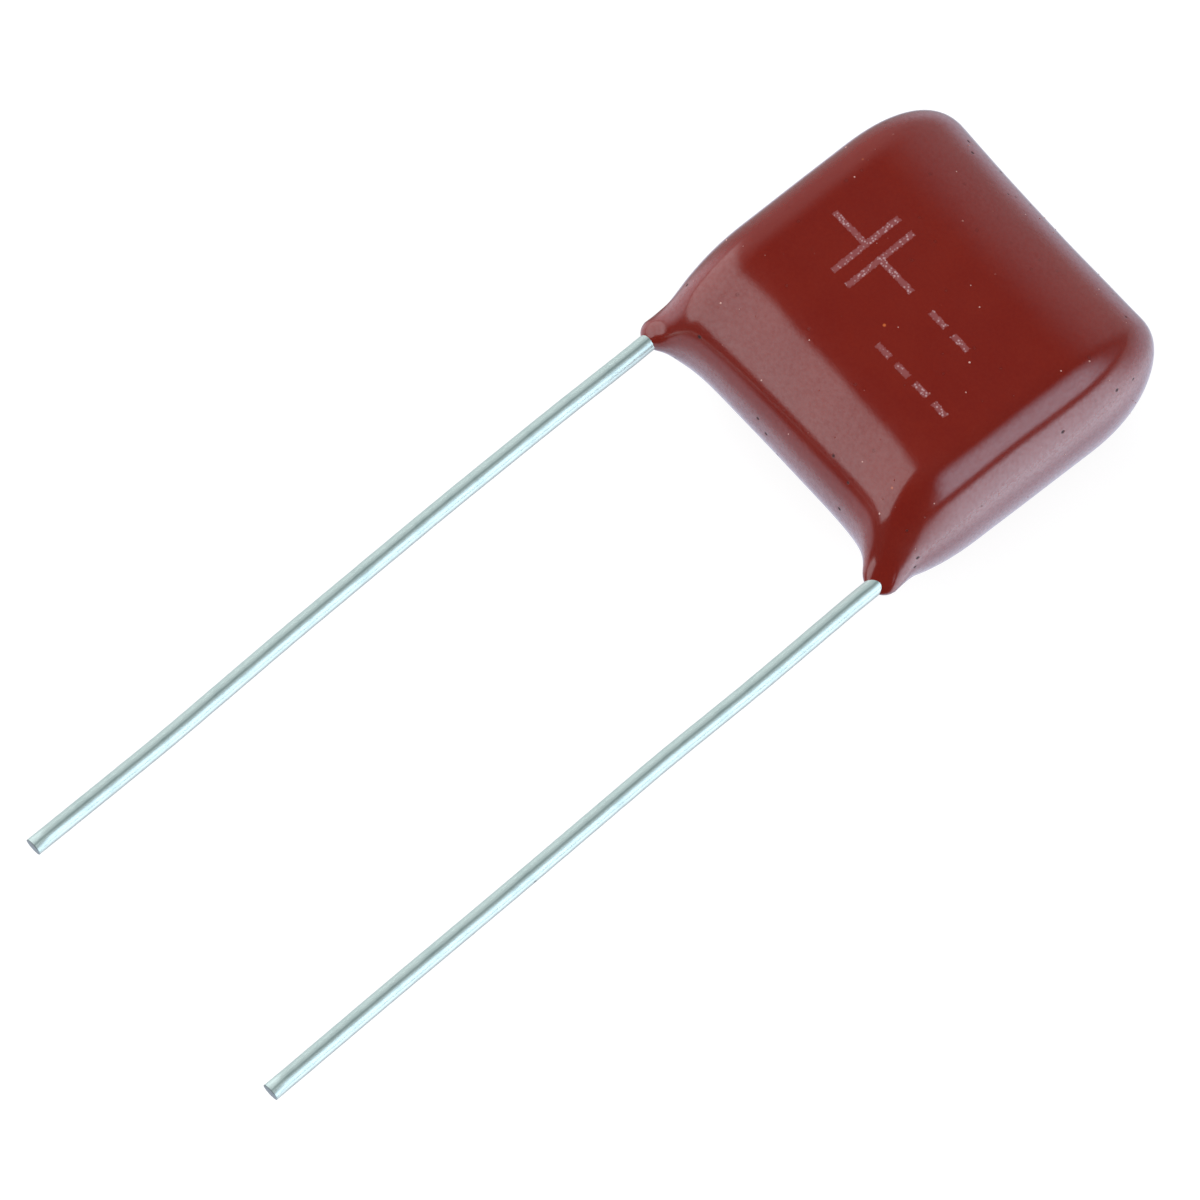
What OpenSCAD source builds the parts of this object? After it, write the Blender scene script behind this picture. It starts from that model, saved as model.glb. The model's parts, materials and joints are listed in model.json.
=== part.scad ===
// Dipped polyester film capacitor with two parallel wire leads.
// It lies on its flat back: +Z is up, the leads run along -Y, and the origin is the middle of the back face.

/* [Winding] */
// Height of the flattened roll, from its lead side to its far side
winding_h = 9.5; // [7:0.1:16]
// Thickness of the flattened roll
winding_t = 4.6; // [2.5:0.1:6.5]
// Gap that the mandrel leaves in the middle of the roll
slit_t = 0.1; // [0.05:0.01:0.3]

/* [End contacts] */
// Thickness of the metal sprayed on each end of the roll
spray_t = 0.4; // [0.25:0.05:0.8]
// Depth that each lead sinks into the sprayed metal where it is welded
weld_sink = 0.08; // [0.02:0.01:0.16]

/* [Leads] */
// Distance between the two leads
lead_pitch = 10; // [7.5:0.5:15]
// Diameter of each lead
lead_d = 0.55; // [0.4:0.05:0.8]
// Length of each lead outside the coating
lead_len = 23.2; // [3:0.1:35]
// Length of each lead inside the body, measured up from the body's lead side
lead_inside = 6.5; // [3:0.1:6.9]
// Thickness of the coined head that is welded to the sprayed metal
head_t = 0.3; // [0.2:0.01:0.38]
// Width of the coined head
head_w = 0.85; // [0.6:0.05:1.1]
// Length of the shoulder between the round wire and its coined head
shoulder_len = 1.5; // [0.8:0.1:2.5]

/* [Coating] */
// Thickness of the coating over the flat faces and the round edges of the roll
coat_t = 0.5; // [0.4:0.05:1]
// Thickness of the coating over the rim of each sprayed end
rim_cover = 0.22; // [0.1:0.01:0.35]
// Thickness of the coating over each lead at the body's sides
side_cover = 0.355; // [0.2:0.005:0.8]
// Thickness of the coating around each lead at the tip of its neck
neck_wall = 0.09; // [0.05:0.005:0.3]
// Length of each neck below the body's lead side
neck_len = 0.8; // [0.5:0.05:1.5]
// Radius of each neck where it widens into the body
root_r = 0.76; // [0.6:0.02:1]
// Depth of the middle of that root inside the body's lead side
root_depth = 0.5; // [0.3:0.05:0.8]
// Distance of that root from its lead, towards the middle of the body
root_shift = 0.4; // [0.1:0.05:0.6]
// Reach of the curve that blends each neck into the body
blend_reach = 1.3; // [0.8:0.1:2]

/* [Hidden] */

LEFT = -1;
RIGHT = 1;
ROUND_FN = 64;
HULL_FN = 32;

// Outer half sizes of the coated body
half_w = lead_pitch / 2 + lead_d / 2 + side_cover;
half_h = winding_h / 2 + coat_t;
half_t = winding_t / 2 + coat_t;

// Stack along X from the roll out to the leads
lead_x = lead_pitch / 2;
spray_face_x = lead_x - lead_d / 2 + weld_sink;
winding_end_x = spray_face_x - spray_t;

// Reach of the side rounding that leaves rim_cover over the rim of a sprayed end
rim_share = sqrt(1 - pow((winding_t / 2 + rim_cover) / half_t, 2));
side_round = (half_w - spray_face_x) / (1 - rim_share);

// Half sizes of the flat faces between the roundings
flat_x = half_w - side_round;
flat_y = half_h - half_t;

// Neck of coating around each lead, a cone with round ends
tip_r = lead_d / 2 + neck_wall;
neck_tip_y = -half_h - neck_len;
neck_tip = [lead_x, neck_tip_y + tip_r, 0];
neck_root = [lead_x - root_shift, -half_h + root_depth, 0];

// Top of each lead, and where its coined head starts
lead_top_y = -half_h + lead_inside;
head_start_y = neck_tip_y + shoulder_len;

// Middle of the coined head, which is level with the round wire on the side of the roll
head_x = lead_x - lead_d / 2 + head_t / 2;

// Narrow step where the shoulder leaves the round wire and the head, and the thin slices it is drawn between
COIN_STEP = 0.01;
SLICE = 0.01;

// Mesh of the coating: steps along its outline and from the outline up to the flat faces
RIM_STEPS = 14;
ARCH_STEPS = 4;
NECK_STEPS = 26;
SIDE_STEPS = 4;
CORNER_STEPS = 9;
FAR_STEPS = 2;
SOLVE_STEPS = 26;

// Rays to the outline around a neck fan out between these angles from a point inside its root
NECK_FROM = 215;
NECK_TO = 360;
fan_y = -flat_y - half_t / 2;
arch_x = lead_x - (half_h + fan_y) / tan(NECK_FROM - 180);

// Shares of a flat face's edges at which one kind of ray ends and the next starts
ARCH_SHARE = 0.6;
NECK_SHARE = 0.6;
SIDE_SHARE = 1.6;
CORNER_SHARE = 1.3;

// Stops along the edge of a flat face, from its middle on the lead side round to its middle on the far side
arch_stop = flat_x * ARCH_SHARE;
neck_stop = flat_x + flat_y * NECK_SHARE;
side_stop = flat_x + flat_y * SIDE_SHARE;
corner_stop = flat_x * CORNER_SHARE + flat_y * 2;
far_stop = flat_x * 2 + flat_y * 2;

function mix(from, to, share) = from + (to - from) * share;

// Distance to the body, a plate with ellipsoid edges, with z measured from the middle plane
function body_gap(p) =
    half_t * norm([
        max(abs(p.x) - flat_x, 0) / side_round,
        max(abs(p.y) - flat_y, 0) / half_t,
        p.z / half_t,
    ]) - half_t;

// Distance to the nearer neck, past its tip, past its root or on the cone between them
function neck_gap(p) =
    let (
        axis = neck_root - neck_tip,
        length = norm(axis),
        slope = asin((root_r - tip_r) / length),
        offset = [abs(p.x), p.y, p.z] - neck_tip,
        along = offset * axis / length,
        aside = norm(cross(offset, axis)) / length,
        foot = along + aside * tan(slope)
    )
    foot < 0 ? norm(offset) - tip_r
    : foot > length ? norm(offset - axis) - root_r
    : aside * cos(slope) - along * sin(slope) - tip_r;

// Distance to the coating's skin, where the necks flow into the body
function skin_gap(p) =
    let (body = body_gap(p), neck = neck_gap(p))
    min(body, neck) - pow(max(blend_reach - abs(body - neck), 0), 2) / (4 * blend_reach);

// Distance along a ray from a point inside the skin to the skin
function reach(from, along, inside, outside, steps = SOLVE_STEPS) =
    let (middle = (inside + outside) / 2)
    steps == 0 ? middle
    : skin_gap(from + along * middle) < 0 ? reach(from, along, middle, outside, steps - 1)
    : reach(from, along, inside, middle, steps - 1);

// Point at a distance along the right half of a flat face's edge
function edge_point(d) =
    d < flat_x ? [d, -flat_y]
    : d < flat_x + 2 * flat_y ? [flat_x, d - flat_x - flat_y]
    : [far_stop - d, flat_y];

// Rays to the right half of the outline: where each starts, its angle and its stop on the flat's edge
arch_rays = [
    for (i = [0:ARCH_STEPS - 1])
        let (share = i / ARCH_STEPS)
        [[arch_x * share, -flat_y], 270, arch_stop * share]
];
neck_rays = [
    for (i = [0:NECK_STEPS - 1])
        let (share = i / NECK_STEPS)
        [[lead_x, fan_y], mix(NECK_FROM, NECK_TO, share), mix(arch_stop, neck_stop, share)]
];
side_rays = [
    for (i = [0:SIDE_STEPS - 1])
        let (share = i / SIDE_STEPS)
        [[flat_x, mix(fan_y, flat_y, share)], 0, mix(neck_stop, side_stop, share)]
];
corner_rays = [
    for (i = [0:CORNER_STEPS - 1])
        let (share = i / CORNER_STEPS)
        [[flat_x, flat_y], 90 * share, mix(side_stop, corner_stop, share)]
];
far_rays = [
    for (i = [0:FAR_STEPS])
        let (share = i / FAR_STEPS)
        [[flat_x * (1 - share), flat_y], 90, mix(corner_stop, far_stop, share)]
];
half_rays = concat(arch_rays, neck_rays, side_rays, corner_rays, far_rays);

// Right half of the outline in the middle plane, each point with its inner point on the flat's edge
half_outline = [
    for (ray = half_rays)
        let (
            from = [ray[0].x, ray[0].y, 0],
            along = [cos(ray[1]), sin(ray[1]), 0],
            tip = from + along * reach(from, along, 0, half_w + half_h)
        )
        [edge_point(ray[2]), [tip.x, tip.y]]
];

// One spoke from the flat's edge down to the outline, as points with their height over the middle plane
function spoke(inner, outer) = [
    for (i = [0:RIM_STEPS])
        let (spot = mix(inner, outer, sin(90 * i / RIM_STEPS)), from = [spot.x, spot.y, 0])
        i == 0 ? [spot.x, spot.y, half_t]
        : i == RIM_STEPS ? from
        : [spot.x, spot.y, reach(from, [0, 0, 1], 0, half_t + blend_reach)]
];

right_spokes = [for (pair = half_outline) spoke(pair[0], pair[1])];
last_spoke = len(right_spokes) - 1;
left_spokes = [
    for (i = [last_spoke - 1:-1:1])
        [for (p = right_spokes[i]) [-p.x, p.y, p.z]]
];
spokes = concat(right_spokes, left_spokes);

// A solid inside the skin: rings run from the upper flat face over the outline to the lower one
module skin_solid() {
    count = len(spokes);
    rings = 2 * RIM_STEPS;
    rim_points = [
        for (k = [0:rings], s = [0:count - 1])
            let (p = spokes[s][min(k, rings - k)])
            [p.x, p.y, k <= RIM_STEPS ? p.z : -p.z]
    ];
    upper_middle = len(rim_points);
    lower_middle = upper_middle + 1;
    walls = [
        for (k = [0:rings - 1], s = [0:count - 1])
            let (
                next = (s + 1) % count,
                a = k * count + s,
                b = k * count + next,
                c = (k + 1) * count + next,
                d = (k + 1) * count + s
            )
            each [[a, b, c], [a, c, d]]
    ];
    flats = [
        for (s = [0:count - 1])
            let (next = (s + 1) % count, last_ring = rings * count)
            each [[next, s, upper_middle], [last_ring + s, last_ring + next, lower_middle]]
    ];
    points = concat(rim_points, [[0, 0, half_t], [0, 0, -half_t]]);
    polyhedron(points, concat(walls, flats), convexity = 4);
}

// Outline with round ends, long along Y, for the flattened roll and the lead heads
module stadium(length, thickness, fn = ROUND_FN) {
    straight = length - thickness;
    square([thickness, straight], center = true);
    for (end = [-1, 1])
        translate([0, end * straight / 2])
            circle(d = thickness, $fn = fn);
}

// Moves a slice of the roll so that it spans from one X to another, with its height along Y
module along_roll(from_x, to_x) {
    translate([from_x, 0, half_t])
        rotate([0, 90, 0])
            linear_extrude(to_x - from_x)
                children();
}

// Extrudes an outline along Y from a place on one side of the part, with the outline's Y along Z
module along_lead(side, x, from_y, length) {
    translate([side * x, from_y, half_t])
        rotate([-90, 0, 0])
            linear_extrude(length)
                children();
}

// One lead: the round wire below its neck, a shoulder inside the neck and the coined head above it
module wire(side) {
    translate([side * lead_x, neck_tip_y, half_t])
        rotate([90, 0, 0])
            cylinder(d = lead_d, h = lead_len, $fn = ROUND_FN);
    hull() {
        along_lead(side, lead_x, neck_tip_y, SLICE)
            circle(d = lead_d - 2 * COIN_STEP, $fn = HULL_FN);
        along_lead(side, head_x, head_start_y - SLICE, SLICE)
            stadium(head_w - 2 * COIN_STEP, head_t - 2 * COIN_STEP, HULL_FN);
    }
    along_lead(side, head_x, head_start_y, lead_top_y - head_start_y)
        stadium(head_w, head_t);
}

// Everything inside the coating, which fits it face to face
module filling() {
    along_roll(-spray_face_x, spray_face_x)
        stadium(winding_h, winding_t);
    wire(LEFT);
    wire(RIGHT);
}

// Sprayed metal on one end of the roll, with the groove of its welded lead
module end_spray(side) {
    inner = side * winding_end_x;
    outer = side * spray_face_x;
    difference() {
        along_roll(min(inner, outer), max(inner, outer))
            stadium(winding_h, winding_t);
        wire(side);
    }
}

module epoxy_coating() {
    color("firebrick")
        difference() {
            translate([0, 0, half_t])
                skin_solid();
            filling();
        }
}

module film_winding() {
    color("gainsboro")
        along_roll(-winding_end_x, winding_end_x)
            difference() {
                stadium(winding_h, winding_t);
                square([slit_t, winding_h - winding_t], center = true);
            }
}

module end_spray_left() {
    color("darkgray")
        end_spray(LEFT);
}

module end_spray_right() {
    color("darkgray")
        end_spray(RIGHT);
}

module lead_left() {
    color("lightsteelblue")
        wire(LEFT);
}

module lead_right() {
    color("lightsteelblue")
        wire(RIGHT);
}

epoxy_coating();
film_winding();
end_spray_left();
end_spray_right();
lead_left();
lead_right();
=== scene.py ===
"""Looks of a dipped polyester film capacitor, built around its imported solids.

Everything is in metres in the part's own frame: the part lies on its flat back, +Z is up,
the leads run along -Y, and the origin is the middle of the back face.
"""

import json
import logging
import math
from dataclasses import dataclass, field
from enum import Enum
from typing import Any, Callable, Mapping, Optional, Sequence, Union

import bpy
import numpy as np
from bpy.types import ID, Material, Mesh, Node, NodeSocket, NodeTree, Object
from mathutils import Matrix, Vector


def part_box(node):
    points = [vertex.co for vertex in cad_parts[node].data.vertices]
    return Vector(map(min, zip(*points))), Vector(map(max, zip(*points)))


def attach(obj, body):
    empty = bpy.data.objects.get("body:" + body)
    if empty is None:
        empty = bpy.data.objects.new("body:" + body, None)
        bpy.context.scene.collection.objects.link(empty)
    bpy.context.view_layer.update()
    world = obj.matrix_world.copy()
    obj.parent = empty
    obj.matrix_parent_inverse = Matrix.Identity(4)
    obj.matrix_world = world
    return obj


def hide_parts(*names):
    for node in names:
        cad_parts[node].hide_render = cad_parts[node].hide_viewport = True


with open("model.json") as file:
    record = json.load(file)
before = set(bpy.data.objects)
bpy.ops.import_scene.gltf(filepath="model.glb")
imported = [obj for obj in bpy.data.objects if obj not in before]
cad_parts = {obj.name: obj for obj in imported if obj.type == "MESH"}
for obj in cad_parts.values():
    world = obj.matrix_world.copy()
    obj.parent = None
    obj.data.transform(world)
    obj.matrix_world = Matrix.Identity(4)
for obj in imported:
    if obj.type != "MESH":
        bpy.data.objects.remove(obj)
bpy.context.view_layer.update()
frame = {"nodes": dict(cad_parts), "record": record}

LOG = logging.getLogger("film_capacitor")
MM = 0.001
BODY = "root"

Colour = tuple[float, float, float, float]
Value = Union["Wire", float]
Key = Union[int, str]
Settings = Optional[Mapping[str, Any]]
Inputs = Optional[Mapping[Key, Any]]
Faces = list[tuple[int, ...]]
Pairs = tuple[tuple[float, float], ...]


class Side(Enum):
    """Side of the part that a lead stands on, as the sign of its X."""

    LEFT = -1
    RIGHT = 1

    @property
    def lead_node(self) -> str:
        """Name of the lead's solid on this side."""
        return f"lead_{self.name.lower()}"

    @property
    def lead_mount(self) -> str:
        """Name of the lead's mount on this side."""
        return f"{self.name.lower()}_lead"


class Slot(Enum):
    """Finishes that the record names."""

    EPOXY = "red_epoxy"
    FILM = "metallised_film"
    SPRAY = "sprayed_zinc"
    WIRE = "tinned_wire"


# Node graphs


def math_node(operation: str, swapped: bool = False) -> Callable[..., "Wire"]:
    """Make a method of Wire that adds one Math node.

    Args:
        operation: The Math node's operation.
        swapped: Whether the other value comes first, as in the reflected operators.

    Returns:
        The method, which takes the other value and returns the node's result.
    """

    def method(self: "Wire", other: Value = 0.0) -> "Wire":
        """Combine the wire with another value."""
        first, second = (other, self) if swapped else (self, other)
        return self.graph.wire("Math", {0: first, 1: second}, {"operation": operation})

    return method


class Wire:
    """An output socket on which Python's operators add Math nodes."""

    __add__ = math_node("ADD")
    __radd__ = math_node("ADD", swapped=True)
    __sub__ = math_node("SUBTRACT")
    __rsub__ = math_node("SUBTRACT", swapped=True)
    __mul__ = math_node("MULTIPLY")
    __rmul__ = math_node("MULTIPLY", swapped=True)
    __truediv__ = math_node("DIVIDE")
    __rtruediv__ = math_node("DIVIDE", swapped=True)
    __pow__ = math_node("POWER")
    __abs__ = math_node("ABSOLUTE")
    sine = math_node("SINE")
    most = math_node("MAXIMUM")
    least = math_node("MINIMUM")

    def __init__(self, graph: "Graph", socket: NodeSocket) -> None:
        """Keep the socket and the graph that it belongs to."""
        self.graph = graph
        self.socket = socket

    def ramp(self, low: Value, high: Value, first: Value = 0.0, last: Value = 1.0) -> "Wire":
        """Smooth step from the first result, up to low, to the last result, from high on."""
        inputs = {0: self, 1: low, 2: high, 3: first, 4: last}
        return self.graph.wire("MapRange", inputs, {"interpolation_type": "SMOOTHSTEP"})


@dataclass(frozen=True)
class SpeckSize:
    """Size and number of sparse specks.

    Args:
        spacing: Size of the cells that may hold one speck each.
        radius: Radius of the largest speck.
        share: Share of the cells that hold one.
    """

    spacing: float
    radius: float
    share: float


class Graph:
    """A node tree of a material, a world or a modifier, filled through one method."""

    LEAST_REACH = 1e-4
    SPECK_FADE = 0.6

    def __init__(self, tree: NodeTree) -> None:
        """Start with the tree emptied of its nodes."""
        self.tree = tree
        tree.nodes.clear()

    def add(self, kind: str, inputs: Inputs = None, settings: Settings = None) -> Node:
        """Add a node.

        Args:
            kind: The node's type; shader nodes go without their common first word.
            inputs: Values or wires of the sockets, by name or number.
            settings: Properties that are set first; "captures" holds the (type, name) pairs of
                captured values.

        Returns:
            The node.
        """
        node = self.tree.nodes.new(kind if "Node" in kind else f"ShaderNode{kind}")
        for name, value in (settings or {}).items():
            if name == "captures":
                for data_type, label in value:
                    node.capture_items.new(data_type, label)
            else:
                setattr(node, name, value)
        for name, value in (inputs or {}).items():
            if isinstance(value, Wire):
                self.tree.links.new(value.socket, node.inputs[name])
            else:
                node.inputs[name].default_value = value
        return node

    def out(self, node: Node, output: Key = 0) -> Wire:
        """Wire from one of a node's outputs."""
        return Wire(self, node.outputs[output])

    def wire(
        self, kind: str, inputs: Inputs = None, settings: Settings = None, output: Key = 0
    ) -> Wire:
        """Add a node, as add does, and take the wire from one of its outputs."""
        return self.out(self.add(kind, inputs, settings), output)

    def mix(self, share: Value, low: Union[Wire, Colour], high: Union[Wire, Colour]) -> Wire:
        """Mix two colours with a share of the second one."""
        return self.wire("Mix", {0: share, 6: low, 7: high}, {"data_type": "RGBA"}, 2)

    def vector(self, operation: str, first: Any, second: Any) -> Wire:
        """Combine two vectors with a Vector Math node."""
        return self.wire("VectorMath", {0: first, 1: second}, {"operation": operation})

    def split(self, vector: Wire) -> tuple[Wire, Wire, Wire]:
        """The three parts of a vector."""
        node = self.add("SeparateXYZ", {0: vector})
        return self.out(node, 0), self.out(node, 1), self.out(node, 2)

    def join(self, x: Value, y: Value, z: Value) -> Wire:
        """A vector from its three parts."""
        return self.wire("CombineXYZ", {0: x, 1: y, 2: z})

    def noise(self, place: Wire, size: float, detail: float = 2.0, rough: float = 0.5) -> Wire:
        """Soft noise from 0 to 1, with patches of a size in metres and finer layers."""
        inputs = {"Vector": place, "Scale": 1.0 / size, "Detail": detail, "Roughness": rough}
        return self.wire("TexNoise", inputs, {"noise_dimensions": "3D"})

    def specks(self, place: Wire, size: SpeckSize) -> Wire:
        """Sparse round specks.

        Args:
            place: Coordinates in metres.
            size: Their size and number.

        Returns:
            Mask that is 1 in the middle of a speck.
        """
        cells = self.add(
            "TexVoronoi",
            {"Vector": place, "Scale": 1.0 / size.spacing, "Randomness": 1.0},
            {"voronoi_dimensions": "3D", "feature": "F1"},
        )
        luck = self.wire("SeparateColor", {0: self.out(cells, "Color")})
        chosen = luck.ramp(1.0 - size.share, 1.0 - size.share * 0.5)
        reach = (chosen * (size.radius / size.spacing)).most(self.LEAST_REACH)
        return (1.0 - self.out(cells, "Distance") / reach).ramp(0.0, self.SPECK_FADE)


class SurfaceGraph(Graph):
    """A material's graph with its coordinates, its bump and its closing nodes."""

    def __init__(self, name: str) -> None:
        """Make the material and start its graph.

        Args:
            name: The material's name.
        """
        self.material = bpy.data.materials.new(name)
        self.material.use_nodes = True
        super().__init__(self.material.node_tree)
        self.place = self.wire("TexCoord", output="Object")

    def bump(self, height: Wire, depth: float) -> Wire:
        """Normal bent by a height, of which 1 stands for a depth in metres."""
        return self.wire("Bump", {"Strength": 1.0, "Distance": depth, "Height": height})

    def close(self, inputs: Inputs) -> Material:
        """End the graph in one Principled shader with these inputs and return the material."""
        self.add("OutputMaterial", {"Surface": self.wire("BsdfPrincipled", inputs)})
        return self.material


class ShapeGraph(Graph):
    """A geometry tree with named inputs, run once to make a plain mesh."""

    def __init__(self, name: str) -> None:
        """Start an empty tree with its geometry sockets.

        Args:
            name: The tree's name.
        """
        super().__init__(bpy.data.node_groups.new(name, "GeometryNodeTree"))
        self.values: dict[str, Any] = {}
        self.entry = self.add("NodeGroupInput")
        for way in ("INPUT", "OUTPUT"):
            self.tree.interface.new_socket("Geometry", in_out=way, socket_type="NodeSocketGeometry")

    def ask(self, name: str, value: Any, kind: str = "NodeSocketFloat") -> Wire:
        """Add a named input.

        Args:
            name: The input's name.
            value: The value that the modifier gives it.
            kind: The socket's type.

        Returns:
            The input's wire.
        """
        socket = self.tree.interface.new_socket(name, in_out="INPUT", socket_type=kind)
        self.values[socket.identifier] = value
        return self.out(self.entry, name)

    def finish(self, geometry: Wire, finish: Material) -> None:
        """End the tree with real geometry that wears a finish.

        Args:
            geometry: What the tree made.
            finish: The material.
        """
        real = self.wire("GeometryNodeRealizeInstances", {0: geometry})
        material = self.ask("Finish", finish, "NodeSocketMaterial")
        worn = self.wire("GeometryNodeSetMaterial", {"Geometry": real, "Material": material})
        self.add("NodeGroupOutput", {0: worn})

    def run(self, host: Object, name: str) -> Object:
        """Run the tree on a host and keep its result as a plain mesh.

        Args:
            host: Object whose mesh the tree reads.
            name: Name of the piece.

        Returns:
            The new piece.
        """
        modifier = host.modifiers.new(self.tree.name, "NODES")
        modifier.node_group = self.tree
        for identifier, value in self.values.items():
            modifier[identifier] = value
        host.update_tag()
        bpy.context.view_layer.update()
        evaluated = host.evaluated_get(bpy.context.evaluated_depsgraph_get())
        mesh = bpy.data.meshes.new_from_object(evaluated)
        mesh.name = name
        host.modifiers.remove(modifier)
        return add_object(name, mesh)


def add_object(name: str, data: ID) -> Object:
    """Put a mesh, a light or a camera into the scene as an object at the origin.

    Args:
        name: The object's name.
        data: What it holds.

    Returns:
        The object.
    """
    thing = bpy.data.objects.new(name, data)
    bpy.context.scene.collection.objects.link(thing)
    return thing


def make_mesh(name: str, points: np.ndarray, faces: Sequence[Sequence[int]]) -> Mesh:
    """Make a smooth-shaded mesh.

    Args:
        name: The mesh's name.
        points: Its points, one row each.
        faces: Point numbers of each face.

    Returns:
        The mesh.
    """
    mesh = bpy.data.meshes.new(name)
    mesh.from_pydata(points.tolist(), [], faces)
    mesh.validate()
    mesh.shade_smooth()
    return mesh


# Finishes


@dataclass(frozen=True)
class EpoxyFinish:
    """Glossy red epoxy with fine grain, specks, pinholes and an etched marking field.

    Args:
        top_z: Height of the upper flat face.
    """

    top_z: float
    red: Colour = (0.168, 0.0098, 0.0052, 1.0)
    warm: Colour = (0.190, 0.0140, 0.0066, 1.0)
    glint: Colour = (0.62, 0.150, 0.040, 1.0)
    pinhole: Colour = (0.020, 0.004, 0.004, 1.0)
    etched: Colour = (0.235, 0.060, 0.058, 1.0)
    etched_dot: Colour = (0.450, 0.270, 0.275, 1.0)
    dots: SpeckSize = SpeckSize(0.075 * MM, 0.045 * MM, 0.75)
    pinholes: SpeckSize = SpeckSize(0.45 * MM, 0.085 * MM, 0.55)
    glints: SpeckSize = SpeckSize(0.62 * MM, 0.065 * MM, 0.10)
    cloud_size: float = 1.6 * MM
    peel_size: float = 0.55 * MM
    mottle_size: float = 0.11 * MM
    speckle_size: float = 0.09 * MM
    grain_size: float = 0.06 * MM
    bump_depth: float = 0.006 * MM
    wall_drop: tuple[float, float] = (0.5 * MM, 1.2 * MM)
    face_drop: tuple[float, float] = (0.4 * MM, 0.3 * MM)
    stroke: float = 0.18 * MM
    stroke_fade: float = 0.03 * MM
    ragged: float = 0.10 * MM
    symbol: tuple[float, float] = (-1.95 * MM, 0.05 * MM)
    plate: float = 2.5 * MM
    plate_gap: float = 0.62 * MM
    tail: float = 1.35 * MM
    # Rows of dashes in millimetres: first middle, step, place along the leads, length, and number
    dash_rows: tuple[tuple[float, float, float, float, int], ...] = (
        (0.55, 0.80, -1.75, 0.52, 4),
        (0.85, 0.95, 0.05, 0.62, 2),
    )

    def strokes(self) -> list[tuple[float, float, float, float]]:
        """Middle and size of each etched stroke: a plain two-plate symbol and plain dashes."""
        (x, y), thin, apart = self.symbol, self.stroke, self.plate_gap
        strokes = [(x + side * apart / 2, y, thin, self.plate) for side in (-1, 1)]
        strokes += [(x + side * (apart + self.tail) / 2, y, self.tail, thin) for side in (-1, 1)]
        for first, step, row, length, number in self.dash_rows:
            for i in range(number):
                strokes.append(((first + step * i) * MM, row * MM, length * MM, thin))
        return strokes

    def etching(self, graph: SurfaceGraph) -> Wire:
        """Draw the etched strokes on the upper face.

        Args:
            graph: The material's graph.

        Returns:
            Mask that is 1 inside a stroke.
        """
        x, y, z = graph.split(graph.place)
        ragged = (graph.noise(graph.place, self.speckle_size) - 0.5) * self.ragged
        gap: Optional[Wire] = None
        for middle_x, middle_y, size_x, size_y in self.strokes():
            across = abs(x - middle_x) - size_x / 2
            along = abs(y - middle_y) - size_y / 2
            stroke = across.most(along)
            gap = gap.least(stroke) if gap else stroke
        drawn = (gap + ragged).ramp(-self.stroke_fade, self.stroke_fade, 1.0, 0.0)
        return drawn * z.ramp(*(self.top_z - drop for drop in self.face_drop))

    def material(self) -> Material:
        """The finish as a material."""
        graph = SurfaceGraph("red_epoxy_gloss")
        place = graph.place
        cloud = graph.noise(place, self.cloud_size, 3.0).ramp(0.35, 0.75)
        grain = graph.noise(place, self.grain_size, 2.0, 0.6)
        peel = graph.noise(place, self.peel_size, 2.0)
        mottle = graph.noise(place, self.mottle_size, 3.0, 0.70).ramp(0.35, 0.70)
        speckle = graph.noise(place, self.speckle_size, 2.0, 0.6).ramp(0.30, 0.70)
        etched = self.etching(graph)
        dots = graph.specks(place, self.dots)
        _, _, z = graph.split(place)
        wall = z.ramp(*(self.top_z - drop for drop in self.wall_drop))
        pinholes = graph.specks(place, self.pinholes) * (0.2 + wall * 0.8)
        glints = graph.specks(place, self.glints)

        colour = graph.mix(cloud * 0.5 + speckle * 0.5, self.red, self.warm)
        colour = graph.mix(glints * 0.8, colour, self.glint)
        colour = graph.mix(pinholes * 0.9, colour, self.pinhole)
        colour = graph.mix(etched, colour, graph.mix(dots, self.etched, self.etched_dot))
        gloss = (1.0 - etched * 0.9) * (1.0 - pinholes * 0.9) * (1.0 - mottle * 0.45)
        height = grain * 0.35 + peel * 1.7 - pinholes * 1.2 - etched * (0.6 + dots * 0.8)
        return graph.close({
            "Base Color": colour,
            "Roughness": 0.14 + grain * 0.12 + etched * 0.40 + pinholes * 0.40,
            "IOR": 1.52,
            "Coat Weight": gloss,
            "Coat Roughness": 0.08,
            "Coat IOR": 1.57,
            "Normal": graph.bump(height, self.bump_depth),
        })


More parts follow.
